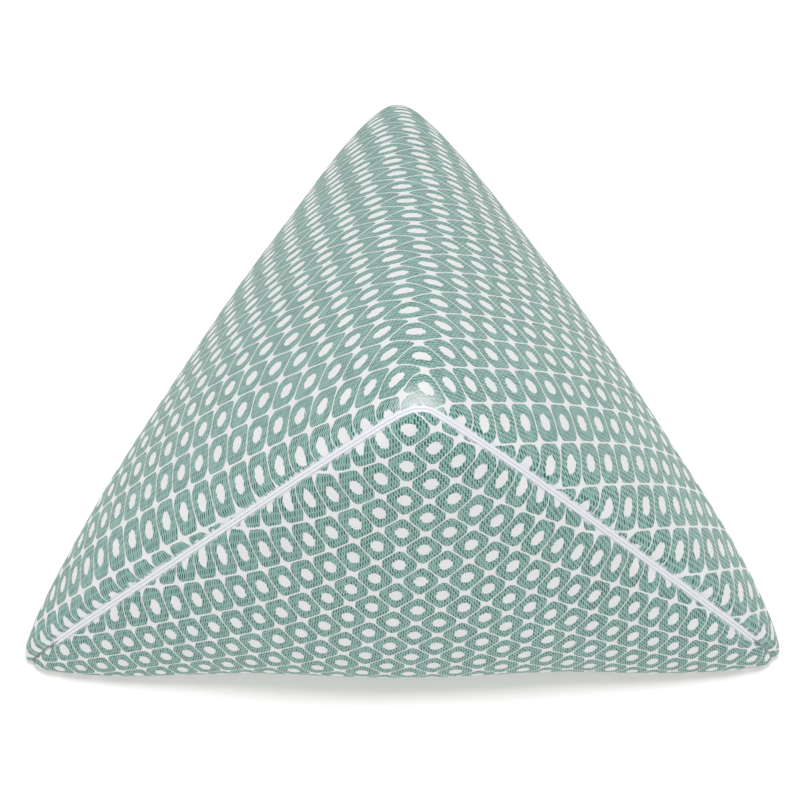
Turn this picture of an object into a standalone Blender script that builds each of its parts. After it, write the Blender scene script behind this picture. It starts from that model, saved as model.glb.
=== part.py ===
"""Pyramid throw pillow: one stuffed tetrahedral cover, closed by a hidden zip that runs
up one edge, over the upper corner and down the next edge. It lies on its back face.

Metres, +Z up. The origin is on the surface, under the middle of the pillow's extent.
"""
import bpy
import bmesh
import numpy as np
from mathutils import Vector

# Driving sizes
CUT_EDGE = 0.457              # edge of each triangle of cloth, 18 in
GRID = 32                     # rows of small triangles along an edge of the pillow
CLEARANCE = 0.0003            # between pieces that touch

# Corner of the four crowned faces before they are rounded, in cut edges
HEAD_Y = 0.567                # far corner
FOOT_X = 0.558                # the two near corners, left and right of the middle
FOOT_Y = -0.298
BASE_Z = -0.204
PEAK = (0.025, -0.066, 0.670)  # raised corner, leaning a little forwards and to the right

# Crown of the faces and softness of the edges, in cut edges
CROWN_SIDES = 0.083
CROWN_FRONT = 0.067
CROWN_BACK = 0.0
EDGE_SHARPNESS = 14.2         # a higher number makes tighter edges
CORNER_SHARPNESS = 47.0
CORNER_REACH = 0.612          # centre to corner of the plain tetrahedron
CORNER_BLEND_FROM = 0.55      # share of that reach where the edges start to tighten
FLAT_CUT = 0.012              # depth of the back that the surface flattens

# Seam and zip
SEAM_DEPTH = 0.0012           # the zip's seam is drawn in this far
ZIP_SHARE = 0.86              # share of each edge that the zip takes, from the raised corner
LIP_RADIUS = 0.00085          # rolled edge of each zip tape
LIP_SPREAD = 0.0010           # middle of the seam to the middle of a lip
LIP_RISE = 0.0008             # extra lift where the cloth rises beside the seam

PILLOW_COLOUR = (0.30, 0.55, 0.47, 1.0)
ZIP_COLOUR = (0.86, 0.88, 0.90, 1.0)


def clear_scene():
    for obj in list(bpy.data.objects):
        bpy.data.objects.remove(obj)


def new_collection(name):
    collection = bpy.data.collections.new(name)
    bpy.context.scene.collection.children.link(collection)
    return collection


def new_material(name, colour, roughness):
    material = bpy.data.materials.new(name)
    material.use_nodes = True
    shader = material.node_tree.nodes["Principled BSDF"]
    shader.inputs["Base Color"].default_value = colour
    shader.inputs["Roughness"].default_value = roughness
    shader.inputs["Metallic"].default_value = 0.0
    return material


def sharp_corners():
    """Corners of the tetrahedron that the crowned faces pass through, in metres."""
    return {
        "head": np.array((0.0, HEAD_Y, BASE_Z)) * CUT_EDGE,
        "left": np.array((-FOOT_X, FOOT_Y, BASE_Z)) * CUT_EDGE,
        "right": np.array((FOOT_X, FOOT_Y, BASE_Z)) * CUT_EDGE,
        "peak": np.array(PEAK) * CUT_EDGE,
    }


def crowned_faces(corners):
    """Middle, outward normal, reach and crown of each face."""
    centre = sum(corners.values()) / 4
    table = (
        ("peak", "head", "left", CROWN_SIDES),
        ("peak", "right", "head", CROWN_SIDES),
        ("peak", "left", "right", CROWN_FRONT),
        ("head", "right", "left", CROWN_BACK),
    )
    faces = []
    for first, second, third, crown in table:
        a, b, c = corners[first], corners[second], corners[third]
        middle = (a + b + c) / 3
        normal = np.cross(b - a, c - a)
        normal /= np.linalg.norm(normal)
        if np.dot(middle - centre, normal) < 0:
            normal = -normal
        reach = sum(np.dot(p - middle, p - middle) for p in (a, b, c)) / 3
        faces.append((middle, normal, reach, crown * CUT_EDGE))
    return centre, faces


def filling_depth(points, centre, faces):
    """Below zero inside the pillow: the crowned faces blend, tightly at the corners."""
    depths = []
    for middle, normal, reach, crown in faces:
        offset = points - middle
        height = offset @ normal
        sideways = (offset ** 2).sum(axis=1) - height ** 2
        depths.append(height - crown * (1 - sideways / reach))
    depths = np.array(depths)
    share = np.linalg.norm(points - centre, axis=1) / (CORNER_REACH * CUT_EDGE)
    near_corner = np.clip((share - CORNER_BLEND_FROM) / (1 - CORNER_BLEND_FROM), 0, 1.3) ** 2
    sharpness = EDGE_SHARPNESS + (CORNER_SHARPNESS - EDGE_SHARPNESS) * near_corner
    sharpness = sharpness / CUT_EDGE
    deepest = depths.max(axis=0)
    return deepest + np.log(np.exp(sharpness * (depths - deepest)).sum(axis=0)) / sharpness


def on_surface(points, centre, faces):
    """Slide each point along its line from the centre until it lies on the pillow."""
    rays = points - centre
    rays /= np.linalg.norm(rays, axis=1)[:, None]
    near = np.full(len(rays), 0.10 * CUT_EDGE)
    far = np.full(len(rays), 0.90 * CUT_EDGE)
    for _ in range(30):
        half = (near + far) / 2
        inside = filling_depth(centre + rays * half[:, None], centre, faces) < 0
        near = np.where(inside, half, near)
        far = np.where(inside, far, half)
    return centre + rays * ((near + far) / 2)[:, None]


def tetrahedron_grid(corners):
    """A plain tetrahedron from a three-sided cone, each face cut into small triangles."""
    bm = bmesh.new()
    bmesh.ops.create_cone(bm, cap_ends=True, cap_tris=False, segments=3,
                          radius1=1.0, radius2=0.0, depth=1.0)
    bmesh.ops.remove_doubles(bm, verts=bm.verts, dist=0.0001)
    names = {}
    for vert in bm.verts:
        if vert.co.z > 0:
            names[vert] = "peak"
        elif abs(vert.co.x) < 0.1:
            names[vert] = "head"
        else:
            names[vert] = "left" if vert.co.x < 0 else "right"
    for vert, name in names.items():
        vert.co = Vector(corners[name])
    bmesh.ops.subdivide_edges(bm, edges=bm.edges, cuts=GRID - 1, use_grid_fill=True)
    bmesh.ops.recalc_face_normals(bm, faces=bm.faces)
    return bm


def seam_share(points, start, end):
    """Where each point lies along the edge from start to end, or -1 if it is off it."""
    edge = end - start
    share = (points - start) @ edge / np.dot(edge, edge)
    away = np.linalg.norm(points - (start + share[:, None] * edge), axis=1)
    return np.where(away < 0.0005, share, -1.0)


def make_pillow(collection, material):
    """The filled cover, and the line of its zip seam from the left corner to the right."""
    corners = sharp_corners()
    centre, faces = crowned_faces(corners)
    bm = tetrahedron_grid(corners)
    bm.verts.ensure_lookup_table()
    flat = np.array([vert.co for vert in bm.verts])
    shaped = on_surface(flat, centre, faces)

    seams = {}
    for side in ("left", "right"):
        seams[side] = seam_share(flat, corners["peak"], corners[side])
    on_seam = (seams["left"] >= 0) | (seams["right"] >= 0)
    inward = centre - shaped
    inward /= np.linalg.norm(inward, axis=1)[:, None]
    shaped[on_seam] += inward[on_seam] * SEAM_DEPTH

    surface = shaped[:, 2].min() + FLAT_CUT * CUT_EDGE
    shaped[:, 2] = np.maximum(shaped[:, 2], surface)
    low, high = shaped.min(axis=0), shaped.max(axis=0)
    origin = np.array(((low[0] + high[0]) / 2, (low[1] + high[1]) / 2, surface))
    shaped -= origin
    for vert, place in zip(bm.verts, shaped):
        vert.co = Vector(place)

    line = []
    for side, order in (("left", -1), ("right", 1)):
        wanted = np.where((seams[side] >= 0) & (seams[side] <= ZIP_SHARE))[0]
        wanted = wanted[np.argsort(seams[side][wanted] * order)]
        line += [index for index in wanted if index not in line]
    route = []
    bm.normal_update()
    bm.verts.ensure_lookup_table()
    for index in line:
        route.append((bm.verts[index].co.copy(), bm.verts[index].normal.copy()))

    mesh = bpy.data.meshes.new("pillow")
    bm.to_mesh(mesh)
    bm.free()
    mesh.shade_smooth()
    pillow = bpy.data.objects.new("pillow", mesh)
    pillow.data.materials.append(material)
    collection.objects.link(pillow)
    return pillow, route


def make_zip_lip(name, side, route, collection, material):
    """Rolled edge of one zip tape: a thin cord along the seam, side -1 front, +1 top."""
    curve = bpy.data.curves.new(name, "CURVE")
    curve.dimensions = "3D"
    curve.bevel_depth = LIP_RADIUS
    curve.bevel_resolution = 2
    curve.use_fill_caps = True
    spline = curve.splines.new("POLY")
    spline.points.add(len(route) - 1)
    for i, (place, normal) in enumerate(route):
        before = route[max(i - 1, 0)][0]
        after = route[min(i + 1, len(route) - 1)][0]
        along = (after - before).normalized()
        across = normal.cross(along).normalized()
        lift = LIP_RADIUS + CLEARANCE + LIP_RISE
        spot = place + normal * lift + across * side * LIP_SPREAD
        spline.points[i].co = (*spot, 1.0)
    curve.materials.append(material)
    lip = bpy.data.objects.new(name, curve)
    collection.objects.link(lip)
    return lip


def main():
    clear_scene()
    collection = new_collection("pyramid_pillow")
    cloth = new_material("patterned_cloth", PILLOW_COLOUR, 0.9)
    tape = new_material("zip_tape", ZIP_COLOUR, 0.6)
    _, route = make_pillow(collection, cloth)
    make_zip_lip("zip_lip_front", -1, route, collection, tape)
    make_zip_lip("zip_lip_top", 1, route, collection, tape)


main()
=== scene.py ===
"""Looks of the pyramid throw pillow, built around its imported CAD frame.

The plain CAD pillow is replaced by a finely modelled cover: two diamonds of ring-patterned
cloth, each folded over one edge, sewn together along the other four and filled. The plain
zip lips are replaced by woven ones that follow the seam of that cover.
Metres, +Z up.
"""
import math
import bpy
import numpy as np
from mathutils import Matrix, Vector


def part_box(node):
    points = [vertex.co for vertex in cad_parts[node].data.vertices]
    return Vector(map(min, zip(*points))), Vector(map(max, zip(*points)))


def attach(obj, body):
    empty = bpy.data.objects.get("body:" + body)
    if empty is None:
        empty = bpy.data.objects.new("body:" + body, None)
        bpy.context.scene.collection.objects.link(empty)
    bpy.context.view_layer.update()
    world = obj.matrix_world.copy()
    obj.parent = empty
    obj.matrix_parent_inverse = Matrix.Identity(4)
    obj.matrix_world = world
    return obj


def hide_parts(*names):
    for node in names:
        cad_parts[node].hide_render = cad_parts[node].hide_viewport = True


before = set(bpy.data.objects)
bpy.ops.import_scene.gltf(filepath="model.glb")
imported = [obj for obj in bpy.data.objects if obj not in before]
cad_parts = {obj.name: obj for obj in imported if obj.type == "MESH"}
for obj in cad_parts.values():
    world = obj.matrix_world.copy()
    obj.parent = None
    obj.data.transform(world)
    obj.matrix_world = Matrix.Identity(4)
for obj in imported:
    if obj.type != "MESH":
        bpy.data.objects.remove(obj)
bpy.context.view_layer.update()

# Shape of the filled pillow, the same values as in the part's source. Lengths below the
# first are in cut edges, and a sharpness is for one cut edge.
CUT_EDGE = 0.457              # edge of each triangle of cloth, 18 in
HEAD_Y = 0.567                # far corner
FOOT_X = 0.558
FOOT_Y = -0.298
BASE_Z = -0.204
PEAK = (0.025, -0.066, 0.670)
CROWN_SIDES = 0.083
CROWN_FRONT = 0.067
CROWN_BACK = 0.0
EDGE_SHARPNESS = 14.2
CORNER_SHARPNESS = 47.0
CORNER_REACH = 0.612
CORNER_BLEND_FROM = 0.55
FLAT_CUT = 0.012

# Mesh of the cover
FIRST_ROWS = 27               # rows of triangles along an edge where the cloth starts to settle
DOUBLINGS = 3
SETTLE_ROUNDS = (260, 160, 80, 12)
CORNER_HELD = 0.93            # closer to a corner, finer nets keep to the coarse one
CLOTH_EDGE = 1.057 * CUT_EDGE  # the cloth is pulled a little by the filling
TRIANGLE_HEIGHT = math.sqrt(3) / 2

# Seams and zip
ZIP_SHARE = 0.86              # share of each edge that the zip takes, from the raised corner
SEAM_DEPTH = 0.0016
SEAM_WIDTH = 0.0035
SHOULDER_RISE = 0.0006        # the cloth swells beside a seam
SHOULDER_AT = 0.008
SHOULDER_WIDTH = 0.005
PUCKER_RISE = 0.00016
PUCKER_START = 0.003          # no pucker in the seam itself, and full ones from here
PUCKER_REACH = 0.016
PUCKER_STEPS = (0.019, 0.0131)
PUCKER_COURSE = (0.93, 0.27, 0.25)  # direction in which the puckers follow each other
LUMP_RISE = 0.0007            # slow rises of the filling
LUMP_SIZE = 0.11
LIP_RADIUS = 0.00095
LIP_SPREAD = 0.00095          # middle of the seam to the middle of a lip
LIP_LIFT = 0.0011
ARC_RADIUS = 0.023            # the zip rounds the raised corner
ARC_FADE = 0.030              # how far beside the zip the cloth follows that arc

# Ring pattern of the cloth
HALF_ACROSS = 0.0170          # half a repeat across the ridge
HALF_ALONG = 0.0137           # half a repeat along the ridge
YARN = 0.00150                # width of one green yarn
DASH = 0.0052                 # length that a green yarn shows before it dips
RING_ACROSS = 0.86            # half sizes of a ring and of its oval, in half repeats
RING_ALONG = 0.75
RING_SLANTED = 0.955
RING_SQUARENESS = 20.0        # higher leaves less round on a ring's corners
OVAL_ACROSS = 0.32
OVAL_ALONG = 0.29
PALE_GREEN = (0.275, 0.49, 0.44, 1.0)
DEEP_GREEN = (0.020, 0.095, 0.075, 1.0)
OFF_WHITES = ((0.72, 0.725, 0.73, 1.0), (0.80, 0.805, 0.81, 1.0))
TAPE_WHITES = ((0.74, 0.77, 0.82, 1.0), (0.87, 0.89, 0.93, 1.0))
FAINT_RINGS_FROM = 0.004             # the rings are fainter around the raised corner
FAINT_RINGS_REACH = 0.022
FAINT_RINGS_LEAST = 0.38
RING_WANDER = 0.0012          # how far the edge of a ring wanders
RINGS_FROM_ZIP = (0.0012, 0.0026)  # no green nearer to the zip, and full green further off
# painted shade: the cloth's colour is darkened nearer than this to a seam, where the seam's groove
# lies in shade
SEAM_SHADE = (0.0004, 0.0016)  # the cloth is darkest nearer than this to a seam
YARN_RELIEF = 0.0006

# How the filling pulls the rings: half repeats for each 0.2 m over the flat panel. The values
# were fitted to bring the rings near their places in the photograph.
PULL_UNIT = 0.2
FRONT_ROWS = {"start": -2.51, "step": 9.61, "tighten": 0.06, "lean": -1.75, "twist": 0.61}
FRONT_SAG = {"at_peak": 23.32, "slope": -12.54, "bend": 2.66}
FRONT_COLUMNS = {"start": -0.77, "lean": 0.33, "bulge": 1.85}
FRONT_FAN = {"at_peak": 13.44, "slope": 5.59, "bend": -2.75}
RIDGE_ROWS = {"start": -2.47, "step": 18.58, "lean": -1.86, "side_slope": -9.75}
RIDGE_COLUMNS = {"start": -1.58, "step": 10.32, "lean": 1.19}
BY_ZIP = {"from": 0.70, "rows": 15.43, "columns": 5.62, "most": 0.5}
RIDGE_ROUND = 0.20            # how softly the rows turn over the ridge
BY_ZIP_ROUND = 0.30
SLOPE_SHARE = 0.93            # part of a face by the raised corner that gives its slope there

# Light and floor
WORLD_LIGHT = 0.69
TOP_LIGHT = {"place": (0.0, 0.20, 3.1), "target": (0, 0, 0.1), "size": 0.6, "watts": 42.0}
FRONT_LIGHT = {"place": (-0.3, -2.2, 1.2), "target": (0, 0, 0.15), "size": 1.6, "watts": 2.4}
FLOOR_HALF = 6.0
FLOOR_COLOUR = (0.95, 0.94, 0.935, 1.0)
FLOOR_GLOW = 0.12
FLOOR_GLOW_COLOUR = (1.0, 0.86, 0.80, 1.0)

# Camera, at the photograph's angle
PHOTO_SIDE = 800              # pixels
LENS = 189.0
SENSOR = 36.0
CAMERA_DISTANCE = 2.637
CAMERA_ELEVATION = 79.94
CAMERA_ROLL = -0.31
AIM_ABOVE = 42.1              # pixels from the pillow's middle up to the picture's

CORNERS = ("head", "left", "right", "peak")
# Corners of each face, counted anticlockwise from outside, and the panel it is part of
FACES = (
    ("peak", "head", "left", "upper"),
    ("peak", "right", "head", "upper"),
    ("peak", "left", "right", "lower"),
    ("head", "right", "left", "lower"),
)
# Where the corners lie on each flat panel, in cloth edges, with the grain along the second axis
PANELS = {
    "upper": {"peak": (0, 0), "head": (0, 1), "left": (-TRIANGLE_HEIGHT, 0.5),
              "right": (TRIANGLE_HEIGHT, 0.5)},
    "lower": {"peak": (0, 0), "left": (TRIANGLE_HEIGHT, -0.5),
              "right": (TRIANGLE_HEIGHT, 0.5), "head": (2 * TRIANGLE_HEIGHT, 0)},
}
SEAMS = (("peak", "left"), ("peak", "right"), ("head", "left"), ("head", "right"))


# The filled form

def sharp_corners():
    return {
        "head": np.array((0.0, HEAD_Y, BASE_Z)) * CUT_EDGE,
        "left": np.array((-FOOT_X, FOOT_Y, BASE_Z)) * CUT_EDGE,
        "right": np.array((FOOT_X, FOOT_Y, BASE_Z)) * CUT_EDGE,
        "peak": np.array(PEAK) * CUT_EDGE,
    }


def crowned_faces(corners):
    """Middle, outward normal, reach and crown of each face."""
    centre = sum(corners.values()) / 4
    crowns = (CROWN_SIDES, CROWN_SIDES, CROWN_FRONT, CROWN_BACK)
    faces = []
    for (first, second, third, _), crown in zip(FACES, crowns):
        a, b, c = corners[first], corners[second], corners[third]
        middle = (a + b + c) / 3
        normal = np.cross(b - a, c - a)
        normal /= np.linalg.norm(normal)
        if np.dot(middle - centre, normal) < 0:
            normal = -normal
        reach = sum(np.dot(p - middle, p - middle) for p in (a, b, c)) / 3
        faces.append((middle, normal, reach, crown * CUT_EDGE))
    return centre, faces


def filling_depth(points, form):
    """Below zero inside the pillow: the crowned faces blend, tightly at the corners."""
    centre, faces = form
    depths = []
    for middle, normal, reach, crown in faces:
        offset = points - middle
        height = offset @ normal
        sideways = (offset ** 2).sum(axis=1) - height ** 2
        depths.append(height - crown * (1 - sideways / reach))
    depths = np.array(depths)
    share = np.linalg.norm(points - centre, axis=1) / (CORNER_REACH * CUT_EDGE)
    near_corner = np.clip((share - CORNER_BLEND_FROM) / (1 - CORNER_BLEND_FROM), 0, 1.3) ** 2
    sharpness = EDGE_SHARPNESS + (CORNER_SHARPNESS - EDGE_SHARPNESS) * near_corner
    sharpness = sharpness / CUT_EDGE
    deepest = depths.max(axis=0)
    return deepest + np.log(np.exp(sharpness * (depths - deepest)).sum(axis=0)) / sharpness


def on_surface(points, form):
    """Slide each point along its line from the centre until it lies on the pillow."""
    centre = form[0]
    rays = points - centre
    rays /= np.linalg.norm(rays, axis=1)[:, None]
    near = np.full(len(rays), 0.10 * CUT_EDGE)
    far = np.full(len(rays), 0.90 * CUT_EDGE)
    for _ in range(30):
        half = (near + far) / 2
        inside = filling_depth(centre + rays * half[:, None], form) < 0
        near = np.where(inside, half, near)
        far = np.where(inside, far, half)
    return centre + rays * ((near + far) / 2)[:, None]


def nudge_to_surface(points, form):
    """One Newton step of the same slide, for points that are almost there."""
    centre = form[0]
    rays = points - centre
    step = 0.0005 * rays / np.linalg.norm(rays, axis=1)[:, None]
    depth = filling_depth(points, form)
    slope = filling_depth(points + step, form) - depth
    return points - step * (depth / np.maximum(slope, 0.0001))[:, None]


# The net of the cover

class Net:
    """Points and triangles of the four faces, shared along their edges."""

    def __init__(self, rows):
        self.rows = rows
        places = [(i, j) for i in range(rows + 1) for j in range(rows + 1 - i)]
        places = np.array(places)
        number = np.full((rows + 2, rows + 2), -1)
        number[places[:, 0], places[:, 1]] = np.arange(len(places))
        i, j = places[places.sum(axis=1) < rows].T
        up = np.stack((number[i, j], number[i + 1, j], number[i, j + 1]), axis=1)
        i, j = places[places.sum(axis=1) < rows - 1].T
        down = np.stack((number[i + 1, j], number[i + 1, j + 1], number[i, j + 1]), axis=1)
        face_triangles = np.concatenate((up, down))
        weights, triangles = [], []
        for face, (first, second, third, _) in enumerate(FACES):
            shares = np.zeros((len(places), 4), int)
            shares[:, CORNERS.index(first)] = rows - places.sum(axis=1)
            shares[:, CORNERS.index(second)] = places[:, 0]
            shares[:, CORNERS.index(third)] = places[:, 1]
            weights.append(shares)
            triangles.append(face_triangles + face * len(places))
        weights = np.concatenate(weights)
        triangles = np.concatenate(triangles)
        _, chosen, merged = np.unique(self.code(weights), return_index=True,
                                      return_inverse=True)
        self.weights = weights[chosen]
        self.codes = self.code(self.weights)
        self.triangles = merged[triangles]
        self.face_of = np.repeat(np.arange(4), len(face_triangles))
        sides = np.concatenate([self.triangles[:, pair] for pair in ((0, 1), (1, 2), (2, 0))])
        self.edges = np.unique(np.sort(sides, axis=1), axis=0)

    def code(self, weights):
        size = self.rows + 1
        return (weights[:, 0] * size + weights[:, 1]) * size + weights[:, 2]

    def share(self, corner):
        return self.weights[:, CORNERS.index(corner)] / self.rows

    def seam_gap(self, start, end):
        """Distance over the cloth from the seam between two corners."""
        others = 1 - self.share(start) - self.share(end)
        return others * TRIANGLE_HEIGHT * CLOTH_EDGE

    def finer(self, points):
        """The net with twice the rows, and points halfway between these for it."""
        net = Net(self.rows * 2)
        odd = net.weights % 2
        step = odd.copy()
        first_odd = odd.argmax(axis=1)
        many = odd.sum(axis=1) > 0
        step[many, first_odd[many]] = -1
        one = np.searchsorted(self.codes, self.code((net.weights + step) // 2))
        two = np.searchsorted(self.codes, self.code((net.weights - step) // 2))
        return net, (points[one] + points[two]) / 2


def seam_planes(net, form, corners):
    """The points of each seam, and the plane through the centre that the seam keeps to."""
    seams = []
    for start, end in SEAMS:
        along = np.where(np.abs(net.seam_gap(start, end)) < 0.000001)[0]
        plane = np.cross(corners[start] - form[0], corners[end] - form[0])
        seams.append((along, plane / np.linalg.norm(plane)))
    return seams


def kept_on_seams(points, seams, form):
    for along, plane in seams:
        away = (points[along] - form[0]) @ plane
        points[along] -= away[:, None] * plane
    return nudge_to_surface(points, form)


def settle_cloth(net, points, rounds, form, corners):
    """Let the cloth slide over the filling so that its threads pull more evenly."""
    rest = CLOTH_EDGE / net.rows
    corner_share = net.weights.max(axis=1) / net.rows
    held = corner_share == 1 if net.rows == FIRST_ROWS else corner_share > CORNER_HELD
    held_places = points[held]
    seams = seam_planes(net, form, corners)
    start, end = net.edges.T
    move = np.zeros_like(points)
    for _ in range(rounds):
        span = points[end] - points[start]
        length = np.linalg.norm(span, axis=1)
        pull = span * (1 - rest / length)[:, None]
        total = np.stack([
            np.bincount(start, pull[:, axis], len(points))
            - np.bincount(end, pull[:, axis], len(points)) for axis in range(3)
        ], axis=1)
        move = 0.88 * move + 0.10 * total
        points = kept_on_seams(points + move, seams, form)
        points[held] = held_places
    return points


def point_normals(points, triangles):
    a, b, c = (points[triangles[:, k]] for k in range(3))
    facing = np.cross(b - a, c - a)
    normals = np.stack([
        sum(np.bincount(triangles[:, k], facing[:, axis], len(points)) for k in range(3))
        for axis in range(3)
    ], axis=1)
    return normals / np.linalg.norm(normals, axis=1)[:, None]


def zip_gap(net):
    """Distance over the cloth from the zip, which stops short of the lower corners."""
    gaps = []
    for side in ("left", "right"):
        along = net.share(side) / np.maximum(net.share(side) + net.share("peak"), 0.001)
        past_end = np.maximum(along - ZIP_SHARE, 0) * CLOTH_EDGE
        gaps.append(np.hypot(net.seam_gap("peak", side), past_end))
    return np.minimum(*gaps)


def faint_rings_gap(net, points):
    """Distance from the raised corner over the upper faces, where the rings are fainter."""
    peak = points[net.share("peak") == 1][0]
    behind = net.share("head") > 0.0
    return np.where(behind, np.linalg.norm(points - peak, axis=1), 1.0)


def seam_relief(net, points, normals):
    """The seams draw the cloth in, and it puckers a little beside them."""
    gap = np.min([net.seam_gap(*seam) for seam in SEAMS], axis=0)
    groove = -SEAM_DEPTH * np.exp(-(gap / SEAM_WIDTH) ** 2)
    shoulder = SHOULDER_RISE * np.exp(-((gap - SHOULDER_AT) / SHOULDER_WIDTH) ** 2)
    along = points @ np.array(PUCKER_COURSE) * 2 * math.pi
    waves = np.sin(along / PUCKER_STEPS[0]) + np.sin(along / PUCKER_STEPS[1] + 1.3)
    puckers = PUCKER_RISE * waves * np.exp(-gap / PUCKER_REACH)
    puckers *= np.clip(gap / PUCKER_START, 0, 1)
    return normals * (groove + shoulder + puckers)[:, None]


def filling_relief(points, normals):
    """Slow rises and dips where the filling lies unevenly."""
    x, y, z = (points / LUMP_SIZE).T
    lumps = np.sin(x * 2.1 + 1.0 + np.sin(y * 1.7)) * np.sin(y * 2.3 + 0.4 + np.sin(z * 1.9))
    lumps += 0.6 * np.sin(z * 3.9 + 2.0 + np.sin(x * 2.9)) * np.sin(x * 3.1 + y * 2.7)
    return normals * (LUMP_RISE * lumps)[:, None]


def shaped_cover():
    """The finest net, its points in the frame, the shift into it and the pattern's places."""
    corners = sharp_corners()
    form = crowned_faces(corners)
    net = Net(FIRST_ROWS)
    flat = net.weights @ np.array([corners[name] for name in CORNERS]) / net.rows
    points = on_surface(flat, form)
    points = settle_cloth(net, points, SETTLE_ROUNDS[0], form, corners)
    for level in range(DOUBLINGS):
        net, points = net.finer(points)
        points = on_surface(points, form)
        points = settle_cloth(net, points, SETTLE_ROUNDS[level + 1], form, corners)
    settled = on_surface(points, form)
    points = rounded_peak(net, settled, form)
    places = cloth_places(net, settled, points)
    normals = point_normals(points, net.triangles)
    points = points + seam_relief(net, points, normals) + filling_relief(points, normals)

    surface = on_surface(flat, form)[:, 2].min() + FLAT_CUT * CUT_EDGE
    points[:, 2] = np.maximum(points[:, 2], surface)
    low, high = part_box("pillow")
    middle = (points.min(axis=0) + points.max(axis=0)) / 2
    shift = np.array(((low.x + high.x) / 2, (low.y + high.y) / 2, low.z))
    shift -= np.array((middle[0], middle[1], surface))
    return net, points + shift, shift, places


def rounded_peak(net, points, form):
    """The zip can't turn sharply, so the cloth's edges meet over the peak in an arc."""
    peak = points[net.share("peak") == 1][0]
    outward = (peak - form[0]) / np.linalg.norm(peak - form[0])
    seams = []
    for side in ("left", "right"):
        on_seam = (np.abs(net.seam_gap("peak", side)) < 0.000001) & (net.share(side) < 0.2)
        seams.append(points[on_seam] - peak)
    ends = [seam[np.linalg.norm(seam, axis=1).argmax()] for seam in seams]
    forwards = sum(end / np.linalg.norm(end) for end in ends)
    forwards -= (forwards @ outward) * outward
    forwards /= np.linalg.norm(forwards)
    aside = np.cross(outward, forwards)
    offset = points - peak
    down, across = offset @ forwards, offset @ aside
    seam = np.concatenate(seams)
    order = np.argsort(seam @ aside)
    on_line = np.interp(across, (seam @ aside)[order], (seam @ forwards)[order])
    half_turn = np.mean([math.atan2(end @ forwards, abs(end @ aside)) for end in ends])
    reach = ARC_RADIUS * math.sin(half_turn)
    inside = np.clip(across, -reach, reach)
    arc = ARC_RADIUS / math.cos(half_turn) - np.sqrt(ARC_RADIUS ** 2 - inside ** 2)
    move = np.where(np.abs(across) < reach, np.maximum(arc - on_line, 0), 0)
    near = np.clip(1 - np.abs(down - on_line) / ARC_FADE, 0, 1)
    near = near * near * (3 - 2 * near) * (offset @ outward > -0.06)
    return on_surface(points + (move * near)[:, None] * forwards, form)


def ridge_rings(aside, along):
    """Column and row in the ring pattern at a place on the upper panel."""
    side = np.hypot(aside, RIDGE_ROUND)
    past = side - BY_ZIP["from"] * along
    by_zip = (past + np.hypot(past, BY_ZIP_ROUND)) / 2
    row = RIDGE_ROWS["start"] + RIDGE_ROWS["step"] * along + RIDGE_ROWS["lean"] * aside
    row += RIDGE_ROWS["side_slope"] * side + BY_ZIP["rows"] * by_zip
    column = RIDGE_COLUMNS["start"] + RIDGE_COLUMNS["lean"] * along
    squeeze = BY_ZIP["columns"] * BY_ZIP["most"] * np.tanh(by_zip / BY_ZIP["most"])
    column += (RIDGE_COLUMNS["step"] + squeeze) * aside
    return column, row


def front_rings(aside, along):
    """The same on the lower panel, whose rows stop sagging at the fold to the base."""
    fold = TRIANGLE_HEIGHT * CLOTH_EDGE / PULL_UNIT
    front = np.minimum(along, fold)
    bow = aside ** 2 / (1 + aside ** 2 / 2)
    sag = FRONT_SAG["at_peak"] + FRONT_SAG["slope"] * front + FRONT_SAG["bend"] * front ** 2
    fan = FRONT_FAN["at_peak"] + FRONT_FAN["slope"] * front + FRONT_FAN["bend"] * front ** 2
    row = FRONT_ROWS["start"] + FRONT_ROWS["step"] * along + FRONT_ROWS["lean"] * aside
    row += FRONT_ROWS["tighten"] * front ** 2 + FRONT_ROWS["twist"] * front * aside + sag * bow
    column = FRONT_COLUMNS["start"] + FRONT_COLUMNS["lean"] * front
    column += (fan + FRONT_COLUMNS["bulge"] * bow) * aside
    return column, row


def pulled_rings(flat, panel):
    """Place in the ring pattern, in metres of unpulled cloth, of points on a flat panel."""
    u, v = flat.T / PULL_UNIT
    if panel == "upper":
        across, along = ridge_rings(u, v)
    else:
        along, across = front_rings(v, u)
    return np.stack((across * HALF_ACROSS, along * HALF_ALONG), axis=1)


def cloth_places(net, settled, eased):
    """Where each triangle's corners lie in the ring pattern of their panel."""
    places = np.zeros((len(net.triangles), 3, 2))
    slid = eased - settled
    near_peak = net.share("peak") > SLOPE_SHARE
    for face, (*names, panel) in enumerate(FACES):
        on_panel = np.zeros((4, 2))
        for name in names:
            on_panel[CORNERS.index(name)] = PANELS[panel][name]
        flat = net.weights @ on_panel / net.rows * CLOTH_EDGE
        mine = net.face_of == face
        if "peak" in names:
            used = np.zeros(len(settled), bool)
            used[net.triangles[mine]] = True
            used &= near_peak
            spots = np.column_stack((settled[used], np.ones(used.sum())))
            slope = np.linalg.lstsq(spots, flat[used], rcond=None)[0][:3]
            flat = flat + slid @ slope
        places[mine] = pulled_rings(flat, panel)[net.triangles[mine]]
    return places


# Node helpers

def calc(tree, operation, *values):
    """A math node's result; each value is a number or a socket."""
    node = tree.nodes.new("ShaderNodeMath")
    node.operation = operation
    for socket, value in zip(node.inputs, values):
        if isinstance(value, (int, float)):
            socket.default_value = value
        else:
            tree.links.new(value, socket)
    return node.outputs[0]


def remap(tree, value, low, high):
    """0 at low, 1 at high, smooth between them."""
    node = tree.nodes.new("ShaderNodeMapRange")
    node.interpolation_type = "SMOOTHSTEP"
    node.inputs["From Min"].default_value = low
    node.inputs["From Max"].default_value = high
    tree.links.new(value, node.inputs["Value"])
    return node.outputs["Result"]


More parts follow.
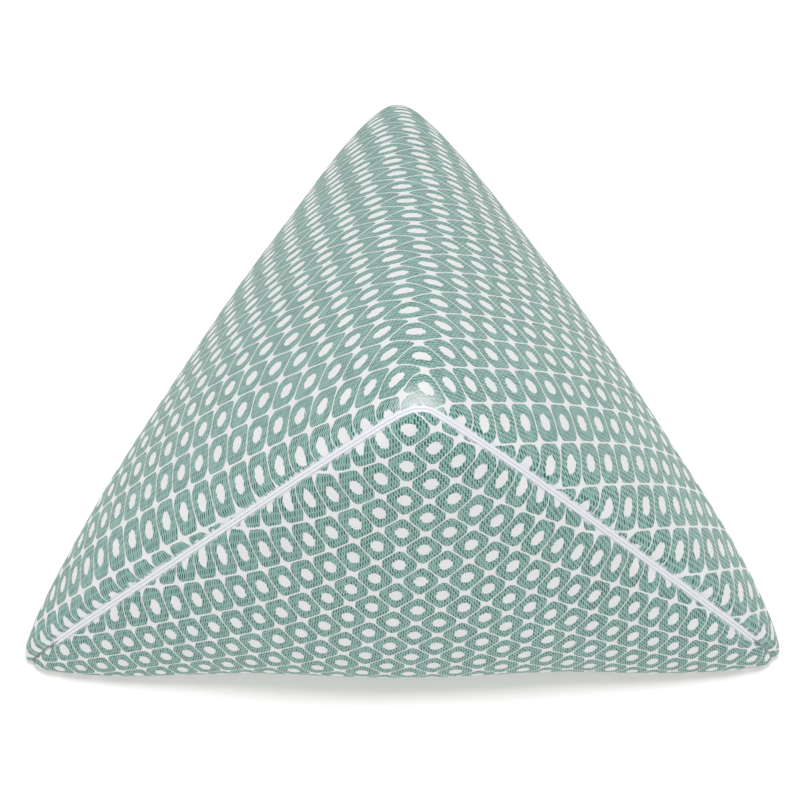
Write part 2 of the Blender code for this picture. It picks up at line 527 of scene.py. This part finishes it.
def mixed(tree, factor, first, second):
    """Mix of two colours, which are inputs 6 and 7 of a Mix node."""
    node = tree.nodes.new("ShaderNodeMix")
    node.data_type = "RGBA"
    for name, value in ((0, factor), (6, first), (7, second)):
        if isinstance(value, (int, float, tuple)):
            node.inputs[name].default_value = value
        else:
            tree.links.new(value, node.inputs[name])
    return node.outputs[2]


def new_group(name, inputs, outputs):
    tree = bpy.data.node_groups.new(name, "ShaderNodeTree")
    for label, kind, value in inputs:
        socket = tree.interface.new_socket(label, in_out="INPUT", socket_type=kind)
        if value is not None:
            socket.default_value = value
    for label, kind in outputs:
        tree.interface.new_socket(label, in_out="OUTPUT", socket_type=kind)
    ins = tree.nodes.new("NodeGroupInput").outputs
    outs = tree.nodes.new("NodeGroupOutput").inputs
    return tree, ins, outs


def use_group(tree, group, **values):
    node = tree.nodes.new("ShaderNodeGroup")
    node.node_tree = group
    for label, value in values.items():
        socket = node.inputs[label.replace("_", " ")]
        if isinstance(value, (int, float)):
            socket.default_value = value
        else:
            tree.links.new(value, socket)
    return node.outputs


def yarn_floats():
    """Short raised yarns that lie side by side along the first axis, each offset from the last."""
    tree, ins, outs = new_group(
        "yarn floats",
        (("Place", "NodeSocketVector", None), ("Yarn", "NodeSocketFloat", YARN),
         ("Length", "NodeSocketFloat", DASH), ("Stagger", "NodeSocketFloat", 0.38),
         ("Slant", "NodeSocketFloat", 0.25)),
        (("Float", "NodeSocketFloat"), ("Chance", "NodeSocketFloat"),
         ("Row", "NodeSocketFloat")))
    split = tree.nodes.new("ShaderNodeSeparateXYZ")
    tree.links.new(ins["Place"], split.inputs[0])
    rows = calc(tree, "DIVIDE", split.outputs["Y"], ins["Yarn"])
    row = calc(tree, "FLOOR", rows)
    along = calc(tree, "DIVIDE", split.outputs["X"], ins["Length"])
    along = calc(tree, "ADD", along, calc(tree, "MULTIPLY", row, ins["Stagger"]))
    dash = calc(tree, "FLOOR", along)
    in_dash = calc(tree, "SUBTRACT", calc(tree, "FRACT", along), 0.5)
    in_row = calc(tree, "SUBTRACT", calc(tree, "FRACT", rows), 0.5)
    in_row = calc(tree, "SUBTRACT", in_row, calc(tree, "MULTIPLY", in_dash, ins["Slant"]))
    ends = calc(tree, "SUBTRACT", 1.0, calc(tree, "POWER", calc(
        tree, "ABSOLUTE", calc(tree, "MULTIPLY", in_dash, 2.0)), 3.0))
    sides = calc(tree, "COSINE", calc(tree, "MULTIPLY", in_row, 2 * math.pi * 0.92))
    rise = calc(tree, "MULTIPLY", calc(tree, "MULTIPLY_ADD", sides, 0.5, 0.5), ends)
    spot = tree.nodes.new("ShaderNodeCombineXYZ")
    tree.links.new(row, spot.inputs["X"])
    tree.links.new(dash, spot.inputs["Y"])
    noise = tree.nodes.new("ShaderNodeTexWhiteNoise")
    tree.links.new(spot.outputs[0], noise.inputs["Vector"])
    tree.links.new(calc(tree, "MAXIMUM", rise, 0.0), outs["Float"])
    tree.links.new(noise.outputs["Value"], outs["Chance"])
    tree.links.new(calc(tree, "MULTIPLY", calc(tree, "ADD", row, 0.5), ins["Yarn"]), outs["Row"])
    return tree


def ring_repeat():
    """Ovals in diamond rings with blunt points, and a white star where four rings meet."""
    tree, ins, outs = new_group(
        "ring repeat",
        (("Across", "NodeSocketFloat", 0.0), ("Along", "NodeSocketFloat", 0.0),
         ("Stepped Along", "NodeSocketFloat", 0.0),
         ("Half Across", "NodeSocketFloat", HALF_ACROSS),
         ("Half Along", "NodeSocketFloat", HALF_ALONG)),
        (("Ring", "NodeSocketFloat"),))

    def in_cell(along):
        a = calc(tree, "DIVIDE", ins["Across"], ins["Half Across"])
        b = calc(tree, "DIVIDE", along, ins["Half Along"])
        p = calc(tree, "MULTIPLY", calc(tree, "ADD", a, b), 0.5)
        q = calc(tree, "MULTIPLY", calc(tree, "SUBTRACT", a, b), 0.5)
        p = calc(tree, "SUBTRACT", calc(tree, "FRACT", calc(tree, "ADD", p, 0.5)), 0.5)
        q = calc(tree, "SUBTRACT", calc(tree, "FRACT", calc(tree, "ADD", q, 0.5)), 0.5)
        return (calc(tree, "ABSOLUTE", calc(tree, "ADD", p, q)),
                calc(tree, "ABSOLUTE", calc(tree, "SUBTRACT", p, q)))

    a, b = in_cell(ins["Along"])
    step_a, step_b = in_cell(ins["Stepped Along"])
    outer = 0.0
    for size in (calc(tree, "DIVIDE", step_a, RING_ACROSS), calc(tree, "DIVIDE", b, RING_ALONG),
                 calc(tree, "DIVIDE", calc(tree, "ADD", a, b), RING_SLANTED)):
        outer = calc(tree, "ADD", outer, calc(tree, "POWER", size, RING_SQUARENESS))
    outer = calc(tree, "POWER", outer, 1 / RING_SQUARENESS)
    inner = calc(tree, "SQRT", calc(
        tree, "ADD", calc(tree, "POWER", calc(tree, "DIVIDE", step_a, OVAL_ACROSS), 2.0),
        calc(tree, "POWER", calc(tree, "DIVIDE", step_b, OVAL_ALONG), 2.0)))
    inside = remap(tree, outer, 1.02, 0.98)
    outside = remap(tree, inner, 0.96, 1.06)
    tree.links.new(calc(tree, "MULTIPLY", inside, outside), outs["Ring"])
    return tree


def new_material(name, roughness, sheen, sheen_roughness):
    material = bpy.data.materials.new(name)
    material.use_nodes = True
    tree = material.node_tree
    shader = tree.nodes["Principled BSDF"]
    shader.inputs["Roughness"].default_value = roughness
    shader.inputs["Sheen Weight"].default_value = sheen
    shader.inputs["Sheen Roughness"].default_value = sheen_roughness
    shader.inputs["Specular IOR Level"].default_value = 0.25
    return material, tree, shader


def link_bump(tree, shader, height, distance, strength):
    bump = tree.nodes.new("ShaderNodeBump")
    bump.inputs["Strength"].default_value = strength
    bump.inputs["Distance"].default_value = distance
    tree.links.new(height, bump.inputs["Height"])
    tree.links.new(bump.outputs["Normal"], shader.inputs["Normal"])


def read_attribute(tree, name):
    node = tree.nodes.new("ShaderNodeAttribute")
    node.attribute_name = name
    return node.outputs["Fac"]


def read_places(tree, name):
    node = tree.nodes.new("ShaderNodeUVMap")
    node.uv_map = name
    return node.outputs["UV"]


def ring_cloth(floats, rings):
    """Off-white cloth with sea green rings of short raised yarns."""
    material, tree, shader = new_material("ring_cloth", 0.85, 0.22, 0.5)
    place = read_places(tree, "cloth")
    yarns = use_group(tree, floats, Place=place)
    split = tree.nodes.new("ShaderNodeSeparateXYZ")
    tree.links.new(place, split.inputs[0])
    across, along = split.outputs["X"], split.outputs["Y"]
    wobble = tree.nodes.new("ShaderNodeTexNoise")
    wobble.inputs["Scale"].default_value = 420.0
    wobble.inputs["Detail"].default_value = 1.0
    tree.links.new(place, wobble.inputs["Vector"])
    wander = calc(tree, "SUBTRACT", wobble.outputs["Fac"], 0.5)
    wander = calc(tree, "MULTIPLY", wander, RING_WANDER)
    across = calc(tree, "ADD", across, wander)
    stepped = calc(tree, "MULTIPLY_ADD", yarns["Row"], 0.75, calc(tree, "MULTIPLY", along, 0.25))
    ring = use_group(tree, rings, Across=across, Along=along, Stepped_Along=stepped)

    margin = calc(tree, "MULTIPLY_ADD", yarns["Chance"], -0.0014, read_attribute(tree, "zip_gap"))
    sewn = remap(tree, margin, *RINGS_FROM_ZIP)
    # the rings are made paler near the raised corner, over the upper faces
    ring_strength = remap(tree, read_attribute(tree, "faint_rings_gap"), FAINT_RINGS_FROM, FAINT_RINGS_REACH)
    ring_strength = calc(tree, "MULTIPLY_ADD", ring_strength, 1 - FAINT_RINGS_LEAST, FAINT_RINGS_LEAST)
    green = calc(tree, "MULTIPLY", calc(tree, "MULTIPLY", ring["Ring"], sewn), ring_strength)

    fine = tree.nodes.new("ShaderNodeTexNoise")
    fine.inputs["Scale"].default_value = 1500.0
    tree.links.new(place, fine.inputs["Vector"])
    slow = tree.nodes.new("ShaderNodeTexNoise")
    slow.inputs["Scale"].default_value = 30.0
    tree.links.new(place, slow.inputs["Vector"])

    tone = calc(tree, "MULTIPLY", remap(tree, yarns["Float"], 0.10, 0.75), calc(
        tree, "MULTIPLY_ADD", yarns["Chance"], 0.75, 0.45))
    tone = calc(tree, "MULTIPLY_ADD", calc(tree, "SUBTRACT", fine.outputs["Fac"], 0.5), 0.4, tone)
    tone = calc(tree, "MAXIMUM", calc(tree, "MINIMUM", tone, 1.0), 0.0)
    yarn_colour = mixed(tree, tone, PALE_GREEN, DEEP_GREEN)
    ground = mixed(tree, fine.outputs["Fac"], *OFF_WHITES)
    colour = mixed(tree, green, ground, yarn_colour)
    # painted shade in the seam grooves, times a slow random tone of the cloth
    seam = remap(tree, read_attribute(tree, "seam_gap"), *SEAM_SHADE)
    shade = calc(tree, "MULTIPLY_ADD", seam, 0.45, 0.55)
    shade = calc(tree, "MULTIPLY", shade, calc(
        tree, "MULTIPLY_ADD", slow.outputs["Fac"], 0.10, 0.95))
    shaded = tree.nodes.new("ShaderNodeVectorMath")
    shaded.operation = "SCALE"
    tree.links.new(colour, shaded.inputs[0])
    tree.links.new(shade, shaded.inputs["Scale"])
    tree.links.new(shaded.outputs[0], shader.inputs["Base Color"])

    relief = calc(tree, "MULTIPLY", green, calc(tree, "MULTIPLY_ADD", yarns["Float"], 0.7, 0.3))
    relief = calc(tree, "MULTIPLY_ADD", fine.outputs["Fac"], 0.25, relief)
    link_bump(tree, shader, relief, YARN_RELIEF, 0.8)
    return material


def lip_cloth(floats):
    """Smooth cool white zip tape, woven of short fine yarns."""
    material, tree, shader = new_material("lip_cloth", 0.6, 0.25, 0.4)
    place = read_places(tree, "tape")
    yarns = use_group(tree, floats, Place=place, Yarn=0.0005, Length=0.0011, Stagger=0.5,
                      Slant=0.1)
    tone = calc(tree, "MULTIPLY_ADD", yarns["Float"], 0.6, calc(
        tree, "MULTIPLY", yarns["Chance"], 0.3))
    colour = mixed(tree, tone, *TAPE_WHITES)
    tree.links.new(colour, shader.inputs["Base Color"])
    link_bump(tree, shader, yarns["Float"], 0.0001, 0.5)
    return material


# Pieces

def add_cover(net, points, places, material):
    mesh = bpy.data.meshes.new("sewn_cover")
    mesh.from_pydata(points.tolist(), [], net.triangles.tolist())
    layer = mesh.uv_layers.new(name="cloth")
    layer.uv.foreach_set("vector", places.astype(np.float32).ravel())
    gaps = {
        "zip_gap": zip_gap(net),
        "seam_gap": np.min([net.seam_gap(*seam) for seam in SEAMS], axis=0),
        "faint_rings_gap": faint_rings_gap(net, points),
    }
    for name, gap in gaps.items():
        attribute = mesh.attributes.new(name, "FLOAT", "POINT")
        attribute.data.foreach_set("value", gap.astype(np.float32))
    mesh.shade_smooth()
    mesh.materials.append(material)
    cover = bpy.data.objects.new("sewn_cover", mesh)
    bpy.context.scene.collection.objects.link(cover)
    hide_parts("pillow")
    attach(cover, "root")
    return cover


def zip_route(net, points):
    """Points and outward directions along the zip, from its left end to its right one."""
    normals = point_normals(points, net.triangles)
    line = []
    for side, order in (("left", -1), ("right", 1)):
        on_seam = np.abs(net.seam_gap("peak", side)) < 0.000001
        wanted = np.where(on_seam & (net.share(side) <= ZIP_SHARE))[0]
        wanted = wanted[np.argsort(net.share(side)[wanted] * order)]
        line += [index for index in wanted if index not in line]
    return points[line], normals[line]


def add_lip(name, node, side, route, material):
    """Rolled edge of one zip tape, side -1 by the front and +1 by the upper faces."""
    places, normals = route
    along = np.gradient(places, axis=0)
    along /= np.linalg.norm(along, axis=1)[:, None]
    across = np.cross(normals, along)
    across /= np.linalg.norm(across, axis=1)[:, None]
    length = np.concatenate(([0], np.cumsum(np.linalg.norm(np.diff(places, axis=0), axis=1))))
    middle = places + normals * LIP_LIFT + across * side * LIP_SPREAD
    turns = 14
    verts, faces, tape = [], [], []
    for i, spot in enumerate(middle):
        taper = min(1.0, 0.35 + 0.65 * min(i, len(middle) - 1 - i) / 3)
        for k in range(turns):
            angle = 2 * math.pi * k / turns
            verts.append(spot + LIP_RADIUS * taper * (
                across[i] * math.cos(angle) + normals[i] * math.sin(angle)))
    for i in range(len(middle) - 1):
        for k in range(turns):
            k2 = (k + 1) % turns
            faces.append((i * turns + k, i * turns + k2, (i + 1) * turns + k2,
                          (i + 1) * turns + k))
            around = LIP_RADIUS * 2 * math.pi / turns
            tape += [(length[i], k * around), (length[i], (k + 1) * around),
                     (length[i + 1], (k + 1) * around), (length[i + 1], k * around)]
    for ring in (range(turns - 1, -1, -1), range(len(verts) - turns, len(verts))):
        faces.append(tuple(ring))
        tape += [(0.0, 0.0)] * turns
    mesh = bpy.data.meshes.new(name)
    mesh.from_pydata([tuple(v) for v in verts], [], faces)
    layer = mesh.uv_layers.new(name="tape")
    layer.uv.foreach_set("vector", np.array(tape, np.float32).ravel())
    mesh.shade_smooth()
    mesh.materials.append(material)
    lip = bpy.data.objects.new(name, mesh)
    bpy.context.scene.collection.objects.link(lip)
    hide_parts(node)
    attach(lip, "root")
    return lip


# Stage

def add_floor():
    mesh = bpy.data.meshes.new("floor")
    half = FLOOR_HALF
    mesh.from_pydata([(-half, -half, 0), (half, -half, 0), (half, half, 0), (-half, half, 0)],
                     [], [(0, 1, 2, 3)])
    material = bpy.data.materials.new("pale_floor")
    material.use_nodes = True
    shader = material.node_tree.nodes["Principled BSDF"]
    shader.inputs["Base Color"].default_value = FLOOR_COLOUR
    shader.inputs["Roughness"].default_value = 0.9
    shader.inputs["Emission Color"].default_value = FLOOR_GLOW_COLOUR
    shader.inputs["Emission Strength"].default_value = FLOOR_GLOW
    mesh.materials.append(material)
    floor = bpy.data.objects.new("floor", mesh)
    bpy.context.scene.collection.objects.link(floor)


def add_camera(shift):
    """The camera looks down on the raised corner from the photograph's angle."""
    target = Vector(shift)
    elevation, roll = math.radians(CAMERA_ELEVATION), math.radians(CAMERA_ROLL)
    back = Vector((0, -math.cos(elevation), math.sin(elevation)))
    right = Vector((1, 0, 0))
    up = back.cross(right)
    data = bpy.data.cameras.new("camera")
    data.sensor_fit = "HORIZONTAL"
    data.sensor_width = SENSOR
    data.lens = LENS
    camera = bpy.data.objects.new("camera", data)
    bpy.context.scene.collection.objects.link(camera)
    rolled_right = right * math.cos(roll) + up * math.sin(roll)
    rolled_up = up * math.cos(roll) - right * math.sin(roll)
    turn = Matrix((rolled_right, rolled_up, back)).transposed()
    tilt = math.atan(AIM_ABOVE * SENSOR / PHOTO_SIDE / LENS)
    turn = turn @ Matrix.Rotation(tilt, 3, "X")
    camera.matrix_world = Matrix.Translation(target + back * CAMERA_DISTANCE) @ turn.to_4x4()
    bpy.context.scene.camera = camera


def add_softbox(name, place, target, size, watts):
    data = bpy.data.lights.new(name, "AREA")
    data.shape = "DISK"
    data.size = size
    data.energy = watts
    lamp = bpy.data.objects.new(name, data)
    bpy.context.scene.collection.objects.link(lamp)
    lamp.location = place
    lamp.rotation_euler = (Vector(target) - Vector(place)).to_track_quat("-Z", "Y").to_euler()


def add_light():
    world = bpy.data.worlds.new("studio")
    world.use_nodes = True
    world.node_tree.nodes["Background"].inputs["Color"].default_value = (1.0, 1.0, 1.0, 1.0)
    world.node_tree.nodes["Background"].inputs["Strength"].default_value = WORLD_LIGHT
    bpy.context.scene.world = world
    add_softbox("top_softbox", **TOP_LIGHT)
    add_softbox("front_softbox", **FRONT_LIGHT)
    bpy.context.scene.view_settings.view_transform = "Standard"


def main():
    net, points, shift, places = shaped_cover()
    floats, rings = yarn_floats(), ring_repeat()
    add_cover(net, points, places, ring_cloth(floats, rings))
    tape = lip_cloth(floats)
    route = zip_route(net, points)
    add_lip("front_zip_lip", "zip_lip_front", -1, route, tape)
    add_lip("top_zip_lip", "zip_lip_top", 1, route, tape)
    add_floor()
    add_camera(shift)
    add_light()


main()
